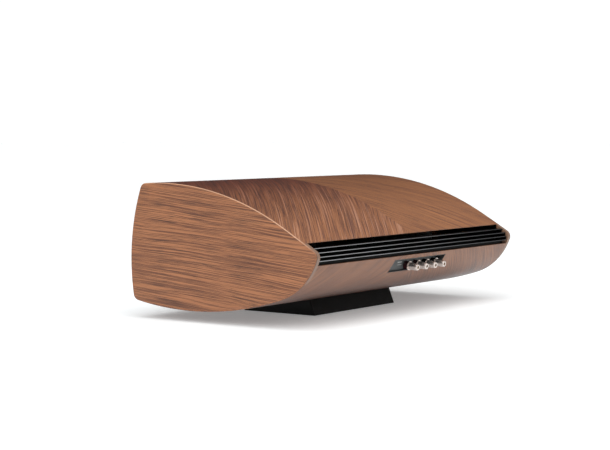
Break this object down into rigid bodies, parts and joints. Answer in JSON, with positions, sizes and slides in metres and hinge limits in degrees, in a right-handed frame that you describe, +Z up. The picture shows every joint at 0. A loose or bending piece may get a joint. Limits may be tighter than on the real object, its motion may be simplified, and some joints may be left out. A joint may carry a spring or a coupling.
{
  "type": "centre channel loudspeaker",
  "caption": "Passive centre loudspeaker with curved veneered cabinet, louvred rear vent, recessed binding posts and a black plinth.",
  "frame": {"origin": "middle of the bounding box's bottom face, on the surface the speaker stands on", "axes": "+X along the cabinet, +Y to the tail with the vent and terminals, -Y to the listener, +Z up"},
  "size_m": [0.6, 0.375, 0.2217],
  "materials": {
    "panel_veneer": "satin lacquered veneer",
    "top_veneer": "satin lacquered veneer, book-matched",
    "bottom_veneer": "satin lacquered veneer, book-matched",
    "baffle_cover": "black grained covering",
    "black_board": "matt black paint",
    "blade_metal": "satin",
    "black_plastic": "fine moulded texture",
    "cup_plastic": "fine moulded texture",
    "red_plastic": "gloss",
    "plate_metal": "dark grey",
    "knob_metal": "satin plated",
    "contact_brass": "plated",
    "steel": "zinc plated",
    "black_steel": "black oxide",
    "basket_metal": "black powder coat",
    "ferrite": "pressed ferrite and plated steel",
    "cone_paper": "coated pulp",
    "soft_rubber": "matt",
    "spider_cloth": "impregnated cloth",
    "silk": "doped silk",
    "circuit_board": "lacquered",
    "copper": "enamelled wire",
    "film": "wrapped film",
    "resistor_ceramic": "ceramic",
    "lead_jacket": "flexible jacket",
    "grey_wadding": "grey polyester wadding"
  },
  "bodies": {
    "root": {"end_panel_right": "panel_veneer", "end_panel_left": "panel_veneer", "top_shell": "top_veneer", "bottom_shell": "bottom_veneer", "front_baffle": "baffle_cover", "brace_right": "black_board", "brace_left": "black_board", "vent_boards": "black_board", "vent_cheeks": "black_plastic", "terminal_cup": "cup_plastic", "terminal_plate": "plate_metal", "terminal_screws": "black_steel", "post_nuts": "contact_brass", "solder_tags": "contact_brass", "tweeter_faceplate": "basket_metal", "tweeter_magnet": "ferrite", "driver_screws": "black_steel", "foot_plinth": "black_plastic", "foot_pads": "soft_rubber", "foot_screws": "steel", "crossover_board": "circuit_board", "crossover_spacers": "black_plastic", "crossover_coils": "copper", "crossover_capacitors": "film", "crossover_resistors": "resistor_ceramic", "speaker_leads": "lead_jacket", "wadding": "grey_wadding", "vent_blade_1": "blade_metal", "post_stud_1": "contact_brass", "post_collar_1": "red_plastic", "vent_blade_2": "blade_metal", "post_stud_2": "contact_brass", "post_collar_2": "red_plastic", "vent_blade_3": "blade_metal", "post_stud_3": "contact_brass", "post_collar_3": "black_plastic", "vent_blade_4": "blade_metal", "post_stud_4": "contact_brass", "post_collar_4": "black_plastic", "woofer_basket_right": "basket_metal", "woofer_magnet_right": "ferrite", "woofer_surround_right": "soft_rubber", "woofer_spider_right": "spider_cloth", "woofer_basket_left": "basket_metal", "woofer_magnet_left": "ferrite", "woofer_surround_left": "soft_rubber", "woofer_spider_left": "spider_cloth"},
    "washer_1": {"post_washer_1": "knob_metal"},
    "knob_1": {"post_knob_1": "knob_metal"},
    "washer_2": {"post_washer_2": "knob_metal"},
    "knob_2": {"post_knob_2": "knob_metal"},
    "washer_3": {"post_washer_3": "knob_metal"},
    "knob_3": {"post_knob_3": "knob_metal"},
    "washer_4": {"post_washer_4": "knob_metal"},
    "knob_4": {"post_knob_4": "knob_metal"},
    "woofer_right": {"woofer_cone_right": "cone_paper", "woofer_cap_right": "cone_paper"},
    "woofer_left": {"woofer_cone_left": "cone_paper", "woofer_cap_left": "cone_paper"},
    "tweeter": {"tweeter_dome": "silk"}
  },
  "joints": [
    {"name": "washer_1_lift", "type": "slide", "parent": "root", "child": "washer_1", "axis": [0, 0.9903, -0.1392], "range_m": [0, 0.005]},
    {"name": "knob_1_turn", "type": "hinge", "parent": "washer_1", "child": "knob_1", "pos_m": [0.0127, 0.1759, 0.08021], "axis": [0, 0.9903, -0.1392], "range_deg": [0, 1800]},
    {"name": "washer_2_lift", "type": "slide", "parent": "root", "child": "washer_2", "axis": [0, 0.9903, -0.1392], "range_m": [0, 0.005]},
    {"name": "knob_2_turn", "type": "hinge", "parent": "washer_2", "child": "knob_2", "pos_m": [-0.0152, 0.1759, 0.08021], "axis": [0, 0.9903, -0.1392], "range_deg": [0, 1800]},
    {"name": "washer_3_lift", "type": "slide", "parent": "root", "child": "washer_3", "axis": [0, 0.9903, -0.1392], "range_m": [0, 0.005]},
    {"name": "knob_3_turn", "type": "hinge", "parent": "washer_3", "child": "knob_3", "pos_m": [-0.0431, 0.1759, 0.08021], "axis": [0, 0.9903, -0.1392], "range_deg": [0, 1800]},
    {"name": "washer_4_lift", "type": "slide", "parent": "root", "child": "washer_4", "axis": [0, 0.9903, -0.1392], "range_m": [0, 0.005]},
    {"name": "knob_4_turn", "type": "hinge", "parent": "washer_4", "child": "knob_4", "pos_m": [-0.071, 0.1759, 0.08021], "axis": [0, 0.9903, -0.1392], "range_deg": [0, 1800]},
    {"name": "woofer_right_travel", "type": "slide", "parent": "root", "child": "woofer_right", "axis": [0, -0.9962, 0.0872], "range_m": [-0.005, 0.005], "stiffness_N_per_m": 1500, "deforming": ["woofer_surround_right", "woofer_spider_right"]},
    {"name": "woofer_left_travel", "type": "slide", "parent": "root", "child": "woofer_left", "axis": [0, -0.9962, 0.0872], "range_m": [-0.005, 0.005], "stiffness_N_per_m": 1500, "deforming": ["woofer_surround_left", "woofer_spider_left"]},
    {"name": "tweeter_travel", "type": "slide", "parent": "root", "child": "tweeter", "axis": [0, -0.9962, 0.0872], "range_m": [-0.0004, 0.0004], "stiffness_N_per_m": 1500}
  ],
  "couplings": [
    {"joint": "knob_1_turn", "follows": "washer_1_lift", "rad_per_m": 6283.2},
    {"joint": "knob_2_turn", "follows": "washer_2_lift", "rad_per_m": 6283.2},
    {"joint": "knob_3_turn", "follows": "washer_3_lift", "rad_per_m": 6283.2},
    {"joint": "knob_4_turn", "follows": "washer_4_lift", "rad_per_m": 6283.2}
  ]
}
